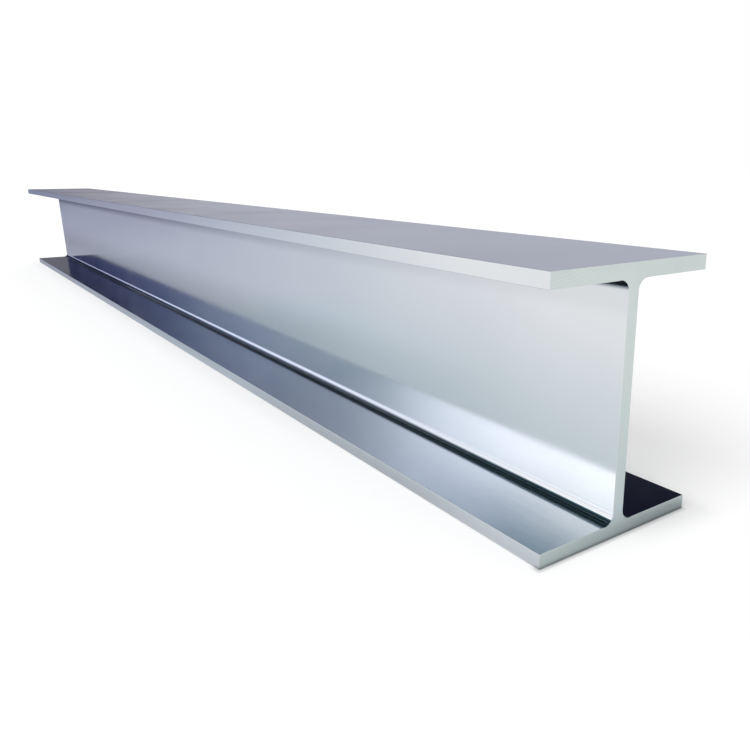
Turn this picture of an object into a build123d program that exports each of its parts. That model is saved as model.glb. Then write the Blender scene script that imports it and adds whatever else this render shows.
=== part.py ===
"""Hot-rolled steel H-beam, one cut length of stock.

The beam lies along X on its lower flange, with the web upright and the
origin at the middle of its underside. Sizes are in millimetres.
"""

import os

from build123d import *

# Section: a medium-flange H of the 200 x 150 series.
section_depth = 194.0
flange_width = 150.0
flange_thickness = 11.0
web_thickness = 10.0

# The rolls leave a fillet where the web meets each flange, and the flange
# toes come off the mill with a small radius instead of a sharp corner.
root_radius = 8.0
toe_radius = 0.3

# The cold saw cuts square, and its burr is dressed off all round.
beam_length = 2000.0
saw_edge_break = 0.2

os.makedirs("parts", exist_ok=True)


with BuildPart() as steel_beam:
    # The section stands on the plane of one end and is drawn out to the other.
    with BuildSketch(Plane.YZ.offset(-beam_length / 2)) as section:
        lower_flange_middle = flange_thickness / 2
        upper_flange_middle = section_depth - flange_thickness / 2
        with Locations((0, lower_flange_middle), (0, upper_flange_middle)):
            Rectangle(flange_width, flange_thickness)
        with Locations((0, section_depth / 2)):
            Rectangle(web_thickness, section_depth - 2 * flange_thickness)

        # Four root corners, two on each side of the web.
        across = section.vertices().group_by(Axis.X)
        fillet(across[1] + across[2], radius=root_radius)

        # Eight toe corners, at the outer edges of the two flanges.
        across = section.vertices().group_by(Axis.X)
        fillet(across[0] + across[-1], radius=toe_radius)
    extrude(amount=beam_length)

    # Dressed edge round both saw cuts.
    along = steel_beam.edges().group_by(Axis.X)
    chamfer(along[0] + along[-1], length=saw_edge_break)

steel_beam.part.label = "steel_beam"
export_step(steel_beam.part, "parts/steel_beam.step")
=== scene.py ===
import math

import bpy
from mathutils import Matrix, Vector


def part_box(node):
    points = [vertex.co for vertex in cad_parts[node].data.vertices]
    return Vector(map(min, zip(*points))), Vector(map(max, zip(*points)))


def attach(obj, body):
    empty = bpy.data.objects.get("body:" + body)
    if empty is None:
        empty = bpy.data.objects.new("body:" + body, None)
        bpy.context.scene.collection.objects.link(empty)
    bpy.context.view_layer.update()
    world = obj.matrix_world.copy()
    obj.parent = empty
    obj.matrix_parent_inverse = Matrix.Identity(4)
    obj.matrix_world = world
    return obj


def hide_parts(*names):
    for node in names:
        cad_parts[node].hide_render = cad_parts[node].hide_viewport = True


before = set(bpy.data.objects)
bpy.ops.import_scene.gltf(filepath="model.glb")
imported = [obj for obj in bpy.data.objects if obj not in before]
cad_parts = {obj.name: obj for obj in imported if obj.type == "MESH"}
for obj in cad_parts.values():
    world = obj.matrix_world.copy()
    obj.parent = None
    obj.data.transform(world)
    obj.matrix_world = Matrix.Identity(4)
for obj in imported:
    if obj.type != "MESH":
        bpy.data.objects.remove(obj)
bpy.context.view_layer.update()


# The steel beam
# One length of hot-rolled structural steel, with web and flanges in one piece. The rolls
# form the section and its root fillets, and a cold saw cuts the two ends square.

MM = 0.001
beam_low, beam_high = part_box("steel_beam")
BEAM_LENGTH, FLANGE_WIDTH, SECTION_DEPTH = beam_high - beam_low
FLANGE_THICKNESS = 11 * MM
WEB_THICKNESS = 10 * MM
ROOT_RADIUS = 8 * MM
TOE_RADIUS = 0.3 * MM
SAW_EDGE = 0.2 * MM

ROOT_STEPS = 20
TOE_STEPS = 6
LENGTH_STEPS = 80
EDGE_STEPS = 3


def arc(centre, radius, start, end, steps, outward=1):
    """Points of an arc in the section with the steel's outward normals, angles in degrees."""
    points = []
    for i in range(steps + 1):
        turn = math.radians(start + (end - start) * i / steps)
        spoke = Vector((math.cos(turn), math.sin(turn)))
        points.append((Vector(centre) + spoke * radius, spoke * outward))
    return points


def section_outline():
    """The section as (place, normal) pairs, anticlockwise from the lower flange."""
    half = FLANGE_WIDTH / 2
    low = FLANGE_THICKNESS
    high = SECTION_DEPTH - FLANGE_THICKNESS
    toe = TOE_RADIUS
    root = ROOT_RADIUS
    root_centre = WEB_THICKNESS / 2 + root
    right = arc((half - toe, toe), toe, -90, 0, TOE_STEPS)
    right += arc((half - toe, low - toe), toe, 0, 90, TOE_STEPS)
    right += arc((root_centre, low + root), root, 270, 180, ROOT_STEPS, -1)
    right += arc((root_centre, high - root), root, 180, 90, ROOT_STEPS, -1)
    right += arc((half - toe, high + toe), toe, -90, 0, TOE_STEPS)
    right += arc((half - toe, SECTION_DEPTH - toe), toe, 0, 90, TOE_STEPS)
    left = [(Vector((-p.x, p.y)), Vector((-n.x, n.y))) for p, n in reversed(right)]
    return right + left


def dressed_edge(end):
    """Rings round a saw cut, from the cut inwards: place along, inset and lean of the normal."""
    rings = []
    for i in range(EDGE_STEPS + 1):
        lean = math.pi / 2 * (1 - i / EDGE_STEPS)
        along = BEAM_LENGTH / 2 - SAW_EDGE * (1 - math.sin(lean))
        rings.append((end * along, SAW_EDGE * (1 - math.cos(lean)), end * lean))
    return rings


def beam_mesh(name):
    """The beam as one closed mesh, with the sawn ends in material 1. Each corner of a face
    gets the true normal of the surface, so that the flats stay flat."""
    step = BEAM_LENGTH / LENGTH_STEPS
    plain = [(-BEAM_LENGTH / 2 + step * i, 0.0, 0.0) for i in range(1, LENGTH_STEPS)]
    rings = dressed_edge(-1) + plain + dressed_edge(1)[::-1]
    outline = section_outline()
    count = len(outline)

    places = []
    normals = []
    for along, inset, lean in rings:
        for place, normal in outline:
            inside = place - normal * inset
            places.append((along, inside.x, inside.y))
            normals.append((math.sin(lean), normal.x * math.cos(lean), normal.y * math.cos(lean)))

    faces = []
    for start in range(0, (len(rings) - 1) * count, count):
        for i in range(count):
            j = (i + 1) % count
            faces.append((start + i, start + j, start + j + count, start + i + count))
    faces.append(tuple(reversed(range(count))))
    faces.append(tuple(range(len(places) - count, len(places))))

    mesh = bpy.data.meshes.new(name)
    mesh.from_pydata(places, [], faces)
    mesh.polygons.foreach_set("use_smooth", [True] * len(faces))
    for sawn in mesh.polygons[-2:]:
        sawn.material_index = 1
    mesh.normals_split_custom_set([normals[corner] for face in faces for corner in face])
    return mesh


def linear(code):
    """An sRGB hex colour as the linear RGBA that Blender's sockets take."""
    parts = [int(code[i:i + 2], 16) / 255 for i in (1, 3, 5)]
    values = [p / 12.92 if p <= 0.04045 else ((p + 0.055) / 1.055) ** 2.4 for p in parts]
    return (*values, 1.0)


def add_node(tree, kind, settings, inputs):
    """Adds a node, sets its properties, gives each input a value or a link, returns its outputs."""
    node = tree.nodes.new(kind)
    for name, value in settings.items():
        setattr(node, name, value)
    for name, value in inputs.items():
        if isinstance(value, bpy.types.NodeSocket):
            tree.links.new(value, node.inputs[name])
        else:
            node.inputs[name].default_value = value
    return node.outputs


def new_material(name):
    """A material with an empty node tree."""
    material = bpy.data.materials.new(name)
    material.use_nodes = True
    material.node_tree.nodes.clear()
    return material


def fade(tree, steps):
    """The product of smooth steps. Each is a value, the two limits between which it changes,
    and the levels that it has there, which are 0 and 1 where they aren't given."""
    product = 1.0
    for value, begin, finish, *levels in steps:
        first, last = levels or (0.0, 1.0)
        step = add_node(tree, "ShaderNodeMapRange", {"interpolation_type": "SMOOTHSTEP"},
                        {"Value": value, "From Min": begin, "From Max": finish,
                         "To Min": first, "To Max": last})["Result"]
        product = add_node(tree, "ShaderNodeMath", {"operation": "MULTIPLY"},
                           {0: product, 1: step})["Value"]
    return product


def lay_over(tree, under, over, steps):
    """One colour laid over another as strongly as the product of smooth steps."""
    return add_node(tree, "ShaderNodeMix", {"data_type": "RGBA"},
                    {0: fade(tree, steps), 6: under, 7: over})[2]


# The rolled skin is hot-rolled steel with its scale off. To the eye it is a soft mirror:
# clear reflections, slightly cloudy and wavy, with faint marks drawn out along the length.
ROLLED_LIGHT = "#E6E8EC"
ROLLED_DARK = "#DEE1E7"
CLOUD_SIZE = 111 * MM
WAVE_SIZE = 71.4 * MM
WAVE_HEIGHT = 0.04 * MM
MARK_LENGTH = 104.2 * MM
MARK_WIDTH = 2.083 * MM
MARK_HEIGHT = 0.012 * MM
GLOSSIEST = 0.10
DULLEST = 0.15

# Painted shade: a dark line is painted into the roots, where shade and dark reflections
# fall, bluer towards the far end, -X, and greyer towards the close one, +X. ROOT_TOP is its
# upper edge, above the flange's outer face, and ROOT_SIDE its outer edge, from the middle of
# the web. Towards the close end the upper edge dies away softly.
ROOT_SHADE_FAR = "#1E2A45"
ROOT_SHADE_CLOSE = "#4A5F62"
ROOT_TOP = 12.7 * MM
ROOT_TOP_BLUR = 0.8 * MM
ROOT_TOP_SOFT = 4.0 * MM
ROOT_SIDE = 13.9 * MM
ROOT_SIDE_BLUR = 0.6 * MM

# Under the upper flange the painted root shade is narrower and darker, and the web beside
# it is painted darker as shade under the flange, most of all at the far end.
UPPER_NARROWER = 1.4 * MM
UPPER_ROOT_SHADE = "#141C24"
UNDER_FLANGE_SHADE = "#464D62"
UNDER_START = 153 * MM
UNDER_FULL = 167 * MM


def rolled_skin():
    material = new_material("rolled_steel")
    tree = material.node_tree
    place = add_node(tree, "ShaderNodeTexCoord", {}, {})["Object"]
    axes = add_node(tree, "ShaderNodeSeparateXYZ", {}, {"Vector": place})
    along = axes["X"]
    height = axes["Z"]
    from_middle = add_node(tree, "ShaderNodeMath", {"operation": "ABSOLUTE"}, {0: axes["Y"]})["Value"]
    from_face = add_node(tree, "ShaderNodeMath", {"operation": "PINGPONG"},
                         {0: height, 1: SECTION_DEPTH / 2})["Value"]
    upper = add_node(tree, "ShaderNodeMath", {"operation": "GREATER_THAN"},
                     {0: height, 1: SECTION_DEPTH / 2})["Value"]

    clouds = add_node(tree, "ShaderNodeTexNoise", {},
                      {"Vector": place, "Scale": 1 / CLOUD_SIZE, "Detail": 3.0})["Fac"]
    tone = add_node(tree, "ShaderNodeMix", {"data_type": "RGBA"},
                    {0: clouds, 6: linear(ROLLED_DARK), 7: linear(ROLLED_LIGHT)})[2]

    # The painted root shade: a sharp edge or a soft one, whichever is stronger, kept to the
    # inside of the flanges and to the root, and fainter towards the far end.
    level = add_node(tree, "ShaderNodeMath", {"operation": "MULTIPLY_ADD"},
                     {0: upper, 1: -UPPER_NARROWER, 2: from_face})["Value"]
    sharp = fade(tree, [(level, ROOT_TOP + ROOT_TOP_BLUR, ROOT_TOP - ROOT_TOP_BLUR)])
    soft = fade(tree, [(level, ROOT_TOP + ROOT_TOP_SOFT, ROOT_TOP - 0.6 * MM),
                       (along, 0.35, 0.95)])
    line = add_node(tree, "ShaderNodeMath", {"operation": "MAXIMUM"}, {0: sharp, 1: soft})["Value"]
    limits = fade(tree, [(from_middle, ROOT_SIDE + ROOT_SIDE_BLUR, ROOT_SIDE - ROOT_SIDE_BLUR),
                         (from_face, FLANGE_THICKNESS - 1.0 * MM, FLANGE_THICKNESS - 0.3 * MM),
                         (along, -1.0, -0.1, 0.35, 1.0)])
    line = add_node(tree, "ShaderNodeMath", {"operation": "MULTIPLY"}, {0: line, 1: limits})["Value"]
    upper_root_shade = add_node(tree, "ShaderNodeMath", {"operation": "MULTIPLY"},
                          {0: line, 1: upper})["Value"]
    # The colour of the painted root shade, bluer far and greyer close.
    root_shade_tone = lay_over(tree, linear(ROOT_SHADE_FAR), linear(ROOT_SHADE_CLOSE), [(along, -0.3, 1.0)])
    for strength, colour in ((line, root_shade_tone), (upper_root_shade, linear(UPPER_ROOT_SHADE))):
        tone = add_node(tree, "ShaderNodeMix", {"data_type": "RGBA"},
                        {0: strength, 6: tone, 7: colour})[2]
    # Painted shade on the web just under the upper flange, strongest at the far end.
    tone = lay_over(tree, tone, linear(UNDER_FLANGE_SHADE),
                    [(height, UNDER_START, UNDER_FULL),
                     (from_face, FLANGE_THICKNESS - 1.0 * MM, FLANGE_THICKNESS + 1.0 * MM),
                     (from_middle, WEB_THICKNESS / 2 + 2.0 * MM, WEB_THICKNESS / 2 + 1.0 * MM),
                     (along, -1.0, 1.0, 1.0, 0.08)])

    gloss = add_node(tree, "ShaderNodeMapRange", {},
                     {"Value": clouds, "From Min": 0.3, "From Max": 0.7,
                      "To Min": GLOSSIEST, "To Max": DULLEST})["Result"]
    waves = add_node(tree, "ShaderNodeTexNoise", {},
                     {"Vector": place, "Scale": 1 / WAVE_SIZE, "Detail": 1.0})["Fac"]
    wavy = add_node(tree, "ShaderNodeBump", {},
                    {"Strength": 1.0, "Distance": WAVE_HEIGHT, "Height": waves})["Normal"]
    drawn = add_node(tree, "ShaderNodeMapping", {},
                     {"Vector": place,
                      "Scale": (1 / MARK_LENGTH, 1 / MARK_WIDTH, 1 / MARK_WIDTH)})["Vector"]
    marks = add_node(tree, "ShaderNodeTexNoise", {},
                     {"Vector": drawn, "Scale": 1.0, "Detail": 4.0, "Roughness": 0.6})["Fac"]
    marked = add_node(tree, "ShaderNodeBump", {},
                      {"Strength": 1.0, "Distance": MARK_HEIGHT, "Height": marks,
                       "Normal": wavy})["Normal"]
    steel = add_node(tree, "ShaderNodeBsdfPrincipled", {},
                     {"Base Color": tone, "Metallic": 1.0, "Roughness": gloss, "Normal": marked})
    add_node(tree, "ShaderNodeOutputMaterial", {}, {"Surface": steel["BSDF"]})
    return material


# The sawn ends are the same steel, cut cold and left as cut. They are paler and duller than
# the skin, with arcs left by the blade's teeth. The arcs are drawn coarser than a real saw's,
# which would be too fine to show.
SAWN_LIGHT = "#D6DFDD"
SAWN_DARK = "#CAD4D4"
SAWN_ROUGHNESS = 0.25
STAIN_SIZE = 33.3 * MM
TOOTH_SPACING = 2.417 * MM
TOOTH_DEPTH = 0.02 * MM
BLADE_CENTRE = Vector((0, -120 * MM, 480 * MM))
# A ring pattern of scale 1 has 20 radians to the metre.
RING_LENGTH = 2 * math.pi / 20


def sawn_end():
    material = new_material("sawn_steel")
    tree = material.node_tree
    place = add_node(tree, "ShaderNodeTexCoord", {}, {})["Object"]
    from_blade = add_node(tree, "ShaderNodeMapping", {},
                          {"Vector": place, "Location": -BLADE_CENTRE})["Vector"]
    arcs = add_node(tree, "ShaderNodeTexWave", {"wave_type": "RINGS", "rings_direction": "X"},
                    {"Vector": from_blade, "Scale": RING_LENGTH / TOOTH_SPACING,
                     "Distortion": 1.5, "Detail": 2.0, "Detail Scale": 3.0})["Fac"]
    cut = add_node(tree, "ShaderNodeBump", {},
                   {"Strength": 1.0, "Distance": TOOTH_DEPTH, "Height": arcs})["Normal"]
    clouds = add_node(tree, "ShaderNodeTexNoise", {},
                      {"Vector": place, "Scale": 1 / STAIN_SIZE, "Detail": 3.0})["Fac"]
    tone = add_node(tree, "ShaderNodeMix", {"data_type": "RGBA"},
                    {0: clouds, 6: linear(SAWN_DARK), 7: linear(SAWN_LIGHT)})[2]
    steel = add_node(tree, "ShaderNodeBsdfPrincipled", {},
                     {"Base Color": tone, "Metallic": 1.0, "Roughness": SAWN_ROUGHNESS,
                      "Normal": cut})
    add_node(tree, "ShaderNodeOutputMaterial", {}, {"Surface": steel["BSDF"]})
    return material


beam = bpy.data.objects.new("rolled_beam", beam_mesh("rolled_beam"))
bpy.context.scene.collection.objects.link(beam)
beam.data.materials.append(rolled_skin())
beam.data.materials.append(sawn_end())
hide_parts("steel_beam")
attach(beam, "root")


# The studio floor
# A sheet of matt white paper under the beam, on which the metal sees painted light and shade:
# bright and warm by the close end, dim and blue at the far one, and dark right against the beam.

FLOOR_SIZE = 60.0
FLOOR_DROP = 0.5 * MM
PAPER = "#D4D4D4"
# Painted tinges that the metal shows beside the close half of the beam and well off to its right.
PAINTED_TINGE_BESIDE = "#95E1E1"
PAINTED_TINGE_BEYOND = "#BCBCC4"
PAINTED_SHADOW = "#000000"
# A metre to the left of the beam counts as this many metres ahead, where the painted light is
# brighter.
LEFT_AHEAD = 1.8
# The paper glows a little to the camera, which makes it white. Within CONTACT_REACH of the
# beam it glows less, as a painted contact shadow, and at the foot of the close end it loses
# this share of that as well, as a darker painted shadow line.
OPEN_GLOW = 0.395
CONTACT_REACH = 35 * MM
FOOT_LOSS = 0.8


def colour_along(tree, value, colours):
    """A colour that changes with a value. Each colour is a place, a strength and an sRGB hex."""
    first = colours[0][0]
    last = colours[-1][0]
    even = add_node(tree, "ShaderNodeMapRange", {},
                    {"Value": value, "From Min": first, "From Max": last})["Result"]
    colour = add_node(tree, "ShaderNodeValToRGB", {}, {"Fac": even})["Color"]
    elements = colour.node.color_ramp.elements
    for place, strength, code in colours[1:-1]:
        elements.new((place - first) / (last - first))
    for element, (place, strength, code) in zip(elements, colours):
        element.color = Vector(linear(code)) * strength
    return colour


def white_paper():
    material = new_material("paper")
    tree = material.node_tree
    rays = add_node(tree, "ShaderNodeLightPath", {}, {})
    place = add_node(tree, "ShaderNodeTexCoord", {}, {})["Object"]
    axes = add_node(tree, "ShaderNodeSeparateXYZ", {}, {"Vector": place})
    along = axes["X"]
    across = axes["Y"]

    # The gap between a point of the floor and the beam, and the part of it across the beam.
    half_size = (BEAM_LENGTH / 2, FLANGE_WIDTH / 2, 0.0)
    apart = add_node(tree, "ShaderNodeVectorMath", {"operation": "ABSOLUTE"},
                     {0: place})["Vector"]
    apart = add_node(tree, "ShaderNodeVectorMath", {"operation": "SUBTRACT"},
                     {0: apart, 1: half_size})["Vector"]
    apart = add_node(tree, "ShaderNodeVectorMath", {"operation": "MAXIMUM"},
                     {0: apart, 1: (0.0, 0.0, 0.0)})["Vector"]
    gap = add_node(tree, "ShaderNodeVectorMath", {"operation": "LENGTH"}, {0: apart})["Value"]
    side_gap = add_node(tree, "ShaderNodeSeparateXYZ", {}, {"Vector": apart})["Y"]

    # A painted pool of light on the paper as the metal shows it, bright ahead of the close end
    # and dimmer behind it.
    leaning = add_node(tree, "ShaderNodeMath", {"operation": "MULTIPLY_ADD"},
                       {0: across, 1: -LEFT_AHEAD, 2: along})["Value"]
    ahead = add_node(tree, "ShaderNodeMath", {"operation": "MAXIMUM"},
                     {0: leaning, 1: along})["Value"]
    painted_pool = colour_along(tree, ahead, [(-4.5, 1.0, "#898EA4"), (-2.5, 1.0, "#A4A8BC"),
                                      (-1.5, 1.0, "#ABAEC0"), (-0.9, 1.0, "#B6BBCA"),
                                      (-0.3, 1.0, "#C4CAD7"), (0.5, 1.0, "#D7DEE6"),
                                      (1.5, 1.0, "#FDFDFB")])
    painted_pool = lay_over(tree, painted_pool, linear(PAINTED_TINGE_BESIDE),
                    [(gap, 0.4, 0.05), (along, -0.3, 0.2), (along, 1.05, 0.95, 0.03, 0.12),
                     (gap, 0.004, 0.03, 0.3, 1.0)])
    painted_pool = lay_over(tree, painted_pool, linear(PAINTED_TINGE_BEYOND), [(across, 0.6, 1.5, 0.0, 0.16)])

    # Painted shadows that only the metal shows on the paper, all against the beam.
    wide_beside = [(side_gap, 0.19, 0.0), (side_gap, 0.0, 0.035, 0.3, 1.0),
                   (along, 0.1, 0.9, 0.25, 0.02)]
    near_close_end = [(gap, 0.03, 0.0), (along, 0.4, 0.7), (along, 0.98, 0.8, 0.06, 0.22),
                      (along, 1.01, 0.98)]
    past_close_end = [(gap, 0.03, 0.0), (along, 0.98, 1.01), (across, -0.09, 0.06, 0.17, 0.50)]
    line_beside = [(side_gap, 0.02, 0.0, 0.0, 0.08), (along, 1.02, 1.0)]
    line_at_close_end = [(gap, 0.005, 0.0), (along, 0.99, 1.0, 0.0, 0.6)]
    for shadow in (wide_beside, near_close_end, past_close_end, line_beside, line_at_close_end):
        painted_pool = lay_over(tree, painted_pool, linear(PAINTED_SHADOW), shadow)

    # Glossy rays see the painted pool and shadows, all other rays the plain paper.
    shown = add_node(tree, "ShaderNodeMix", {"data_type": "RGBA"},
                     {0: rays["Is Glossy Ray"], 6: linear(PAPER), 7: painted_pool})[2]
    paper = add_node(tree, "ShaderNodeBsdfDiffuse", {}, {"Color": shown})["BSDF"]

    # Painted contact shadow in the camera's view: the glow is dimmed next to the beam, more on its
    # right and towards the far end.
    shade_at_foot = fade(tree, [(along, 0.55, 0.85, 0.32, 0.38), (across, -0.04, 0.05, 1.0, 0.66)])
    glow = add_node(tree, "ShaderNodeMapRange", {"interpolation_type": "SMOOTHSTEP"},
                    {"Value": gap, "From Max": CONTACT_REACH,
                     "To Min": shade_at_foot, "To Max": OPEN_GLOW})["Result"]
    painted_contact = fade(tree, [(gap, 0.005, 0.0), (along, 0.99, 1.0)])
    left_over = add_node(tree, "ShaderNodeMath", {"operation": "MULTIPLY_ADD"},
                         {0: painted_contact, 1: -FOOT_LOSS, 2: 1.0})["Value"]
    for share in (left_over, rays["Is Camera Ray"]):
        glow = add_node(tree, "ShaderNodeMath", {"operation": "MULTIPLY"},
                        {0: glow, 1: share})["Value"]
    light = add_node(tree, "ShaderNodeEmission", {}, {"Strength": glow})["Emission"]
    both = add_node(tree, "ShaderNodeAddShader", {}, {0: paper, 1: light})["Shader"]
    add_node(tree, "ShaderNodeOutputMaterial", {}, {"Surface": both})
    return material


side = FLOOR_SIZE / 2
floor_mesh = bpy.data.meshes.new("floor")
floor_mesh.from_pydata([(-side, -side, 0), (side, -side, 0), (side, side, 0), (-side, side, 0)],
                       [], [(0, 1, 2, 3)])
floor = bpy.data.objects.new("floor", floor_mesh)
floor.location.z = -FLOOR_DROP
floor.data.materials.append(white_paper())
bpy.context.scene.collection.objects.link(floor)


# The studio lights
# One large soft lamp on the left of the beam, and screens and panels all round it, which
# only the metal shows. Behind the beam the camera sees plain white.

SCREEN_LIGHT = 0.6
LAMP_STRENGTH = 1.95
LAMP_SPREAD = math.radians(45)
LAMP_FROM = Vector((0.17, -1.0, 0.85))
SCREENS_BEHIND = "#DDDFE3"
HORIZON_TOP = 27.0
# A place in the screens is two angles in degrees. Cone is measured from the direction in
# which the beam runs away from the camera, and climb from the floor, about the length. Each
# list goes out from the middle of the cone: an angle, a strength and a colour.
LOW_LEFT = [(0.0, 1.0, "#273050"), (11.5, 1.0, "#353C65"), (15.0, 1.0, "#48507E"),
            (23.0, 1.0, "#8999AF"), (34.0, 1.0, "#A4B5BD"), (40.4, 2.0, "#CFD4D8"),
            (48.5, 2.0, "#F0F2F2"), (54.0, 2.0, "#FBFCF8")]
HIGH_LEFT = [(0.0, 1.0, "#070D27"), (13.0, 1.0, "#03071D"), (16.5, 1.0, "#0A1035"),
             (19.5, 1.0, "#3F4B71"), (24.0, 1.0, "#77829D"), (30.0, 1.0, "#8E97A8"),
             (35.4, 1.0, "#A8B3C0"), (40.0, 1.0, "#D4DFEB"), (45.5, 1.0, "#BCCBDA"),
             (49.0, 1.0, "#618497"), (54.0, 1.0, "#5D8291")]
OVERHEAD = [(20.0, 1.0, "#0D1935"), (40.0, 1.0, "#162238"), (50.0, 1.0, "#384B52")]
HORIZON = [(10.0, 2.0, "#A2A7BD"), (20.0, 2.0, "#BABDCF"), (36.0, 2.0, "#C0C4CD"),
           (50.0, 2.0, "#CBCBCB")]
ZENITH = [(10.0, 1.0, "#595D6C"), (16.0, 1.0, "#696C79"), (32.0, 1.0, "#B5BAC2")]
LOW_RIGHT = [(0.0, 1.0, "#303855"), (7.0, 1.0, "#898B9E"), (11.0, 1.0, "#AAAAB6"),
             (20.0, 1.0, "#B6B8C4")]
HIGH_RIGHT = [(10.0, 1.0, "#6C6C76"), (20.0, 1.0, "#070A1F")]

world = bpy.data.worlds.new("studio")
bpy.context.scene.world = world
world.use_nodes = True
tree = world.node_tree
tree.nodes.clear()
rays = add_node(tree, "ShaderNodeLightPath", {}, {})
toward = add_node(tree, "ShaderNodeTexCoord", {}, {})["Generated"]
axes = add_node(tree, "ShaderNodeSeparateXYZ", {}, {"Vector": toward})

away = add_node(tree, "ShaderNodeMath", {"operation": "MULTIPLY"}, {0: axes["X"], 1: -1.0})["Value"]
cone = add_node(tree, "ShaderNodeMath", {"operation": "ARCCOSINE"}, {0: away})["Value"]
cone = add_node(tree, "ShaderNodeMath", {"operation": "DEGREES"}, {0: cone})["Value"]
aside = add_node(tree, "ShaderNodeMath", {"operation": "ABSOLUTE"}, {0: axes["Y"]})["Value"]
climb = add_node(tree, "ShaderNodeMath", {"operation": "ARCTAN2"}, {0: axes["Z"], 1: aside})["Value"]
climb = add_node(tree, "ShaderNodeMath", {"operation": "DEGREES"}, {0: climb})["Value"]
# The bright horizon on the left ends just below a climb that is the cone's angle, but never
# above HORIZON_TOP.
horizon_top = add_node(tree, "ShaderNodeMath", {"operation": "MINIMUM"},
                       {0: cone, 1: HORIZON_TOP})["Value"]
over_horizon = add_node(tree, "ShaderNodeMath", {"operation": "SUBTRACT"},
                        {0: climb, 1: horizon_top})["Value"]

zenith = colour_along(tree, cone, ZENITH)
left = colour_along(tree, cone, LOW_LEFT)
for over, steps in ((colour_along(tree, cone, HIGH_LEFT), [(climb, 30.5, 38.5)]),
                    (colour_along(tree, cone, OVERHEAD), [(climb, 39.0, 62.0)]),
                    (colour_along(tree, cone, HORIZON), [(over_horizon, -1.0, -5.5)]),
                    (zenith, [(climb, 70.0, 86.0)]),
                    (linear(SCREENS_BEHIND), [(cone, 60.0, 80.0)])):
    left = lay_over(tree, left, over, steps)

right = colour_along(tree, cone, LOW_RIGHT)
for over, steps in ((colour_along(tree, cone, HIGH_RIGHT), [(climb, 13.0, 28.0)]),
                    (zenith, [(climb, 48.0, 68.0)]),
                    (linear(SCREENS_BEHIND), [(cone, 70.0, 85.0)])):
    right = lay_over(tree, right, over, steps)

screens = lay_over(tree, right, left, [(axes["Y"], 0.01, -0.01)])
mirrored = add_node(tree, "ShaderNodeBackground", {}, {"Color": screens})["Background"]
even_light = add_node(tree, "ShaderNodeBackground", {},
                      {"Color": linear("#FFFFFF"), "Strength": SCREEN_LIGHT})["Background"]
backdrop = add_node(tree, "ShaderNodeBackground", {}, {"Color": linear("#FFFFFF")})["Background"]
shown = add_node(tree, "ShaderNodeMixShader", {},
                 {0: rays["Is Glossy Ray"], 1: even_light, 2: mirrored})["Shader"]
shown = add_node(tree, "ShaderNodeMixShader", {},
                 {0: rays["Is Camera Ray"], 1: shown, 2: backdrop})["Shader"]
add_node(tree, "ShaderNodeOutputWorld", {}, {"Surface": shown})

lamp = bpy.data.objects.new("lamp", bpy.data.lights.new("lamp", "SUN"))
lamp.data.energy = LAMP_STRENGTH
lamp.data.angle = LAMP_SPREAD
lamp.rotation_euler = LAMP_FROM.to_track_quat("Z", "Y").to_euler()
lamp.visible_glossy = False
bpy.context.scene.collection.objects.link(lamp)


# The view
# The photograph's camera, low and close to one end of the beam. Its place, aim and lens
# were fitted to the beam's edges. The shift is that of the photograph's own framing.

CAMERA_PLACE = Vector((1.3006, -0.3694, 0.2513))
CAMERA_YAW = math.radians(36.93)
CAMERA_PITCH = math.radians(17.00)
CAMERA_LENS = 34.768
CAMERA_SENSOR = 36.0
CAMERA_SHIFT = (-0.10676, 0.01792)
NEAREST_SHOWN = 0.01

level = Vector((-math.cos(CAMERA_YAW), math.sin(CAMERA_YAW), 0))
forward = level * math.cos(CAMERA_PITCH) + Vector((0, 0, -math.sin(CAMERA_PITCH)))
rightward = Vector((math.sin(CAMERA_YAW), math.cos(CAMERA_YAW), 0))
upward = rightward.cross(forward)

camera = bpy.data.objects.new("camera", bpy.data.cameras.new("camera"))
camera.data.lens = CAMERA_LENS
camera.data.sensor_width = CAMERA_SENSOR
camera.data.shift_x, camera.data.shift_y = CAMERA_SHIFT
camera.data.clip_start = NEAREST_SHOWN
camera.location = CAMERA_PLACE
camera.rotation_euler = Matrix((rightward, upward, -forward)).transposed().to_euler()
bpy.context.scene.collection.objects.link(camera)
bpy.context.scene.camera = camera
bpy.context.scene.view_settings.view_transform = "Standard"
